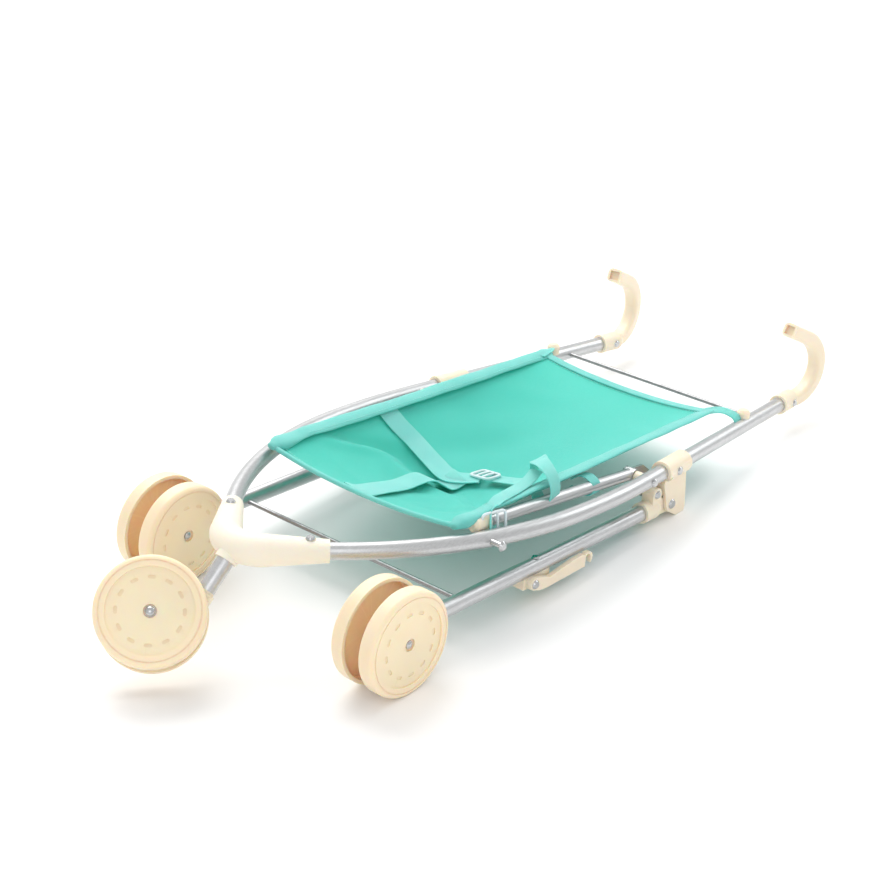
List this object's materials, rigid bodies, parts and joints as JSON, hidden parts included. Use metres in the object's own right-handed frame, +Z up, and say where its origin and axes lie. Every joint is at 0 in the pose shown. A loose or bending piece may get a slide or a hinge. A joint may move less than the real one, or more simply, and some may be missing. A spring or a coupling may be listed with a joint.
{
  "type": "doll stroller",
  "caption": "Folded three-wheel doll stroller lying flat: bent tube frame, swivelling front wheel, hinged rear legs, sling seat with straps and hooked handles.",
  "frame": {"origin": "middle of the folded stroller's bounding box, on the table it lies on", "axes": "+X from the front wheel to the handles, +Y to the pusher's right, +Z up"},
  "size_m": [0.7134, 0.2716, 0.0972],
  "materials": {
    "cream_plastic": "moulded, satin",
    "wheel_plastic": "moulded, slightly translucent",
    "satin_tube": "satin silver paint",
    "bright_steel": "polished",
    "zinc_steel": "plain",
    "mint_fabric": "woven, matte",
    "white_buckle": "moulded"
  },
  "bodies": {
    "frame": {"front_yoke": "cream_plastic", "yoke_screws": "bright_steel", "front_stem": "satin_tube", "stem_bush": "cream_plastic", "frame_tube_left": "satin_tube", "frame_tube_right": "satin_tube", "side_bracket_left": "cream_plastic", "side_bracket_right": "cream_plastic", "bracket_rivets": "bright_steel", "leg_pivot_rivets": "bright_steel", "arm_pivot_rivets": "bright_steel", "arm_spacer_left": "cream_plastic", "arm_spacer_right": "cream_plastic", "top_rod": "zinc_steel", "handle_left": "cream_plastic", "handle_right": "cream_plastic", "handle_screws": "bright_steel", "sling_knob_left": "cream_plastic", "sling_knob_right": "cream_plastic", "latch_stud": "bright_steel", "sling_back": "mint_fabric"},
    "rear_legs": {"rear_leg_left": "satin_tube", "rear_leg_right": "satin_tube", "leg_socket_left": "cream_plastic", "leg_socket_right": "cream_plastic", "crank_pins": "bright_steel", "leg_rod": "zinc_steel", "axle_foot_left": "cream_plastic", "axle_foot_right": "cream_plastic", "latch_base": "cream_plastic", "latch_screw": "bright_steel", "latch_pin": "bright_steel"},
    "latch": {"latch_hook": "cream_plastic"},
    "rear_wheel_left": {"rear_axle_left": "zinc_steel", "rear_disc_left_outer": "wheel_plastic", "rear_disc_left_inner": "wheel_plastic", "rear_caps_left": "bright_steel"},
    "rear_wheel_right": {"rear_axle_right": "zinc_steel", "rear_disc_right_outer": "wheel_plastic", "rear_disc_right_inner": "wheel_plastic", "rear_caps_right": "bright_steel"},
    "caster": {"caster_body": "cream_plastic", "caster_pin": "zinc_steel"},
    "front_wheel": {"front_axle": "zinc_steel", "front_disc_a": "wheel_plastic", "front_disc_b": "wheel_plastic", "front_caps": "bright_steel"},
    "seat_arms": {"seat_arm_left": "satin_tube", "seat_arm_right": "satin_tube", "arm_cap_left": "cream_plastic", "arm_cap_right": "cream_plastic", "sling_seat": "mint_fabric", "crotch_strap": "mint_fabric", "lap_strap": "mint_fabric", "strap_loop": "mint_fabric", "buckle_lap": "white_buckle", "buckle_side": "white_buckle"}
  },
  "joints": [
    {"name": "rear_leg_fold", "type": "hinge", "parent": "frame", "child": "rear_legs", "pos_m": [0.1103, 0, 0.0127], "axis": [0, -1, 0], "range_deg": [0, 59.6]},
    {"name": "seat_arm_lift", "type": "hinge", "parent": "frame", "child": "seat_arms", "pos_m": [0.07423, 0, 0.04941], "axis": [0, 1, 0], "range_deg": [0, 41.77]},
    {"name": "rear_wheel_left_spin", "type": "hinge", "parent": "rear_legs", "child": "rear_wheel_left", "pos_m": [-0.21125, -0.11565, 0.04], "axis": [0, 1, 0], "continuous": true},
    {"name": "rear_wheel_right_spin", "type": "hinge", "parent": "rear_legs", "child": "rear_wheel_right", "pos_m": [-0.21125, 0.11565, 0.04], "axis": [0, 1, 0], "continuous": true},
    {"name": "caster_swivel", "type": "hinge", "parent": "frame", "child": "caster", "pos_m": [-0.24719, 0, 0.08512], "axis": [0.7852, 0, 0.6192], "continuous": true},
    {"name": "front_wheel_spin", "type": "hinge", "parent": "caster", "child": "front_wheel", "pos_m": [-0.31328, 0.01861, 0.05022], "axis": [-0.501, -0.5878, 0.6352], "continuous": true},
    {"name": "latch_swing", "type": "hinge", "parent": "rear_legs", "child": "latch", "pos_m": [-0.06599, -0.12445, 0.01914], "axis": [0, 1, 0], "range_deg": [0, 228.5]}
  ],
  "couplings": [
    {"joint": "seat_arm_lift", "follows": "rear_leg_fold", "ratio": 0.7}
  ]
}
